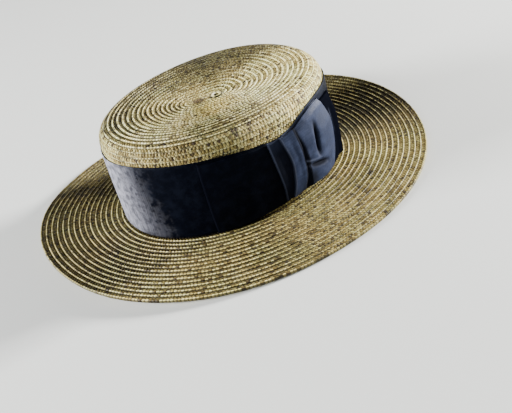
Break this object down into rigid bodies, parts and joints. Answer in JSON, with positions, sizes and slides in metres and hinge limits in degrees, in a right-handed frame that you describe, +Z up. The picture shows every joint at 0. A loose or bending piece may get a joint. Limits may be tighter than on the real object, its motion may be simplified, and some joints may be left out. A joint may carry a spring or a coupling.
{
  "type": "straw boater hat",
  "caption": "Stiff straw hat with a flat oval crown, a wide slightly curved brim, a wide ribbon band and a flat side bow.",
  "frame": {"origin": "middle of the bounding box's bottom, on the surface that the brim stands on", "axes": "+Z up, front of the hat at -Y, back at +Y, the wearer's left with the bow at +X"},
  "size_m": [0.326, 0.352, 0.0887],
  "materials": {
    "straw": "sewn rows of plaited straw, satin, pale with brown flecks",
    "ribbon": "fine ribbed silk ribbon, dark navy, soft sheen"
  },
  "bodies": {
    "root": {"crown": "straw", "brim": "straw", "hat_band": "ribbon", "bow_front_loop": "ribbon", "bow_under_loop": "ribbon", "bow_back_loop": "ribbon", "bow_knot": "ribbon"}
  },
  "joints": []
}
